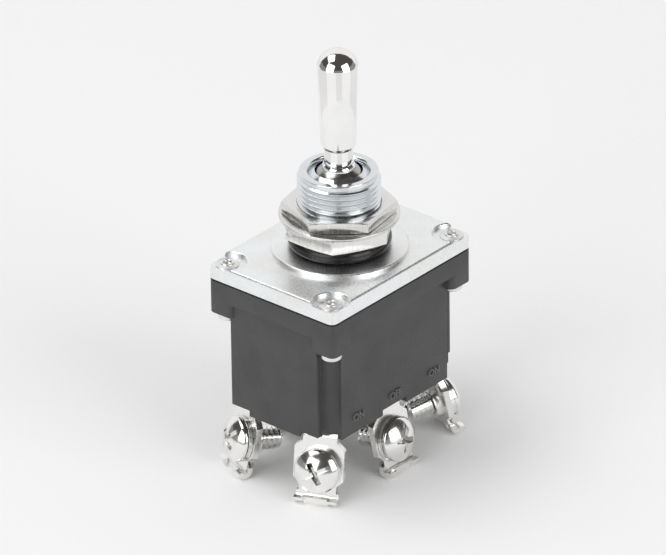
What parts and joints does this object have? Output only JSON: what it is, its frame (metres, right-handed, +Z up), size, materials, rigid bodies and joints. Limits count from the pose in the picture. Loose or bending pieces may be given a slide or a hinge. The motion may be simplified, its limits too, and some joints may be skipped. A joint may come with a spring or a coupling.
{
  "type": "panel toggle switch",
  "caption": "Panel toggle switch with a bat lever, threaded bushing with hex nuts, steel cover, moulded case and screw terminals on splayed tabs.",
  "frame": {"origin": "on the plane that the terminals' prongs stand on, below the middle of the case", "axes": "+Z up along the bushing and the upright lever, +X the way the lever tilts, along the case, +Y across from pole a to pole b"},
  "size_m": [0.0328, 0.0244, 0.0638],
  "materials": {
    "phenolic": "satin moulded",
    "zinc_steel": "bright zinc plate",
    "fibre": "matt fibre",
    "bushing_nickel": "bright nickel plate",
    "rubber": "glossy rubber",
    "nut_nickel": "brushed nickel plate",
    "washer_steel": "nickel plate",
    "lever_nickel": "polished nickel plate",
    "pin_steel": "ground steel",
    "nylon": "natural nylon",
    "plunger_brass": "turned brass",
    "spring_steel": "spring wire",
    "contact_copper": "copper strip",
    "terminal_brass": "plain brass",
    "contact_silver": "silver faced",
    "rivet_nickel": "bright nickel plate",
    "terminal_nickel": "nickel plate",
    "screw_nickel": "bright nickel plate"
  },
  "bodies": {
    "switch": {"case": "phenolic", "cover": "zinc_steel", "cover_gasket": "fibre", "bushing": "bushing_nickel", "bushing_seal": "rubber", "lower_hex_nut": "nut_nickel", "rocker_support_a": "terminal_brass", "support_rivet_a": "terminal_brass", "contact_rivet_a_left": "contact_silver", "corner_rivet_front_left": "rivet_nickel", "contact_rivet_a_right": "contact_silver", "corner_rivet_front_right": "rivet_nickel", "terminal_a_left": "terminal_nickel", "terminal_a_right": "terminal_nickel", "terminal_a_middle": "terminal_nickel", "rocker_support_b": "terminal_brass", "support_rivet_b": "terminal_brass", "contact_rivet_b_left": "contact_silver", "corner_rivet_back_left": "rivet_nickel", "contact_rivet_b_right": "contact_silver", "corner_rivet_back_right": "rivet_nickel", "terminal_b_left": "terminal_nickel", "terminal_b_right": "terminal_nickel", "terminal_b_middle": "terminal_nickel"},
    "lever": {"lever": "lever_nickel", "pivot_pin": "pin_steel", "actuator": "nylon", "plunger_spring_a": "spring_steel", "plunger_spring_b": "spring_steel"},
    "panel_washer": {"panel_washer": "washer_steel"},
    "upper_nut": {"upper_hex_nut": "nut_nickel"},
    "rocker_a": {"rocker_a": "contact_copper"},
    "plunger_a": {"plunger_a": "plunger_brass"},
    "rocker_b": {"rocker_b": "contact_copper"},
    "plunger_b": {"plunger_b": "plunger_brass"},
    "washer_a_left": {"screw_washer_a_left": "screw_nickel"},
    "screw_a_left": {"terminal_screw_a_left": "screw_nickel"},
    "washer_a_right": {"screw_washer_a_right": "screw_nickel"},
    "screw_a_right": {"terminal_screw_a_right": "screw_nickel"},
    "washer_a_middle": {"screw_washer_a_middle": "screw_nickel"},
    "screw_a_middle": {"terminal_screw_a_middle": "screw_nickel"},
    "washer_b_left": {"screw_washer_b_left": "screw_nickel"},
    "screw_b_left": {"terminal_screw_b_left": "screw_nickel"},
    "washer_b_right": {"screw_washer_b_right": "screw_nickel"},
    "screw_b_right": {"terminal_screw_b_right": "screw_nickel"},
    "washer_b_middle": {"screw_washer_b_middle": "screw_nickel"},
    "screw_b_middle": {"terminal_screw_b_middle": "screw_nickel"}
  },
  "joints": [
    {"name": "lever_tilt", "type": "hinge", "parent": "switch", "child": "lever", "pos_m": [0, 0, 0.04179], "axis": [0, 1, 0], "range_deg": [-12.5, 12.5]},
    {"name": "rocker_a_tilt", "type": "hinge", "parent": "switch", "child": "rocker_a", "pos_m": [0, -0.005, 0.01704], "axis": [0, 1, 0], "range_deg": [-6.25, 6.25]},
    {"name": "plunger_a_slide", "type": "slide", "parent": "lever", "child": "plunger_a", "axis": [0, 0, 1], "range_m": [0, 0.001], "stiffness_N_per_m": 400, "springref_m": -0.004, "deforming": ["plunger_spring_a"]},
    {"name": "rocker_b_tilt", "type": "hinge", "parent": "switch", "child": "rocker_b", "pos_m": [0, 0.005, 0.01704], "axis": [0, 1, 0], "range_deg": [-6.25, 6.25]},
    {"name": "plunger_b_slide", "type": "slide", "parent": "lever", "child": "plunger_b", "axis": [0, 0, 1], "range_m": [0, 0.001], "stiffness_N_per_m": 400, "springref_m": -0.004, "deforming": ["plunger_spring_b"]},
    {"name": "panel_washer_slide", "type": "slide", "parent": "switch", "child": "panel_washer", "axis": [0, 0, 1], "range_m": [0, 0.00397]},
    {"name": "upper_nut_turn", "type": "hinge", "parent": "panel_washer", "child": "upper_nut", "pos_m": [0, 0, 0.03919], "axis": [0, 0, 1], "range_deg": [0, 1800]},
    {"name": "screw_washer_a_left_slide", "type": "slide", "parent": "switch", "child": "washer_a_left", "axis": [-0.9004, -0.3822, 0.2079], "range_m": [0, 0.00159]},
    {"name": "terminal_screw_a_left_turn", "type": "hinge", "parent": "washer_a_left", "child": "screw_a_left", "pos_m": [-0.01356, -0.0071, 0.0049], "axis": [-0.9004, -0.3822, 0.2079], "range_deg": [0, 720]},
    {"name": "screw_washer_a_right_slide", "type": "slide", "parent": "switch", "child": "washer_a_right", "axis": [0.9004, -0.3822, 0.2079], "range_m": [0, 0.00159]},
    {"name": "terminal_screw_a_right_turn", "type": "hinge", "parent": "washer_a_right", "child": "screw_a_right", "pos_m": [0.01356, -0.0071, 0.0049], "axis": [0.9004, -0.3822, 0.2079], "range_deg": [0, 720]},
    {"name": "screw_washer_a_middle_slide", "type": "slide", "parent": "switch", "child": "washer_a_middle", "axis": [0, -0.9781, 0.2079], "range_m": [0, 0.00159]},
    {"name": "terminal_screw_a_middle_turn", "type": "hinge", "parent": "washer_a_middle", "child": "screw_a_middle", "pos_m": [0, -0.00954, 0.0049], "axis": [0, -0.9781, 0.2079], "range_deg": [0, 720]},
    {"name": "screw_washer_b_left_slide", "type": "slide", "parent": "switch", "child": "washer_b_left", "axis": [-0.9004, 0.3822, 0.2079], "range_m": [0, 0.00159]},
    {"name": "terminal_screw_b_left_turn", "type": "hinge", "parent": "washer_b_left", "child": "screw_b_left", "pos_m": [-0.01356, 0.0071, 0.0049], "axis": [-0.9004, 0.3822, 0.2079], "range_deg": [0, 720]},
    {"name": "screw_washer_b_right_slide", "type": "slide", "parent": "switch", "child": "washer_b_right", "axis": [0.9004, 0.3822, 0.2079], "range_m": [0, 0.00159]},
    {"name": "terminal_screw_b_right_turn", "type": "hinge", "parent": "washer_b_right", "child": "screw_b_right", "pos_m": [0.01356, 0.0071, 0.0049], "axis": [0.9004, 0.3822, 0.2079], "range_deg": [0, 720]},
    {"name": "screw_washer_b_middle_slide", "type": "slide", "parent": "switch", "child": "washer_b_middle", "axis": [0, 0.9781, 0.2079], "range_m": [0, 0.00159]},
    {"name": "terminal_screw_b_middle_turn", "type": "hinge", "parent": "washer_b_middle", "child": "screw_b_middle", "pos_m": [0, 0.00954, 0.0049], "axis": [0, 0.9781, 0.2079], "range_deg": [0, 720]}
  ],
  "couplings": [
    {"joint": "rocker_a_tilt", "follows": "lever_tilt", "ratio": -0.5},
    {"joint": "rocker_b_tilt", "follows": "lever_tilt", "ratio": -0.5},
    {"joint": "upper_nut_turn", "follows": "panel_washer_slide", "rad_per_m": 7915.8},
    {"joint": "terminal_screw_a_left_turn", "follows": "screw_washer_a_left_slide", "rad_per_m": 7915.8},
    {"joint": "terminal_screw_a_right_turn", "follows": "screw_washer_a_right_slide", "rad_per_m": 7915.8},
    {"joint": "terminal_screw_a_middle_turn", "follows": "screw_washer_a_middle_slide", "rad_per_m": 7915.8},
    {"joint": "terminal_screw_b_left_turn", "follows": "screw_washer_b_left_slide", "rad_per_m": 7915.8},
    {"joint": "terminal_screw_b_right_turn", "follows": "screw_washer_b_right_slide", "rad_per_m": 7915.8},
    {"joint": "terminal_screw_b_middle_turn", "follows": "screw_washer_b_middle_slide", "rad_per_m": 7915.8}
  ]
}
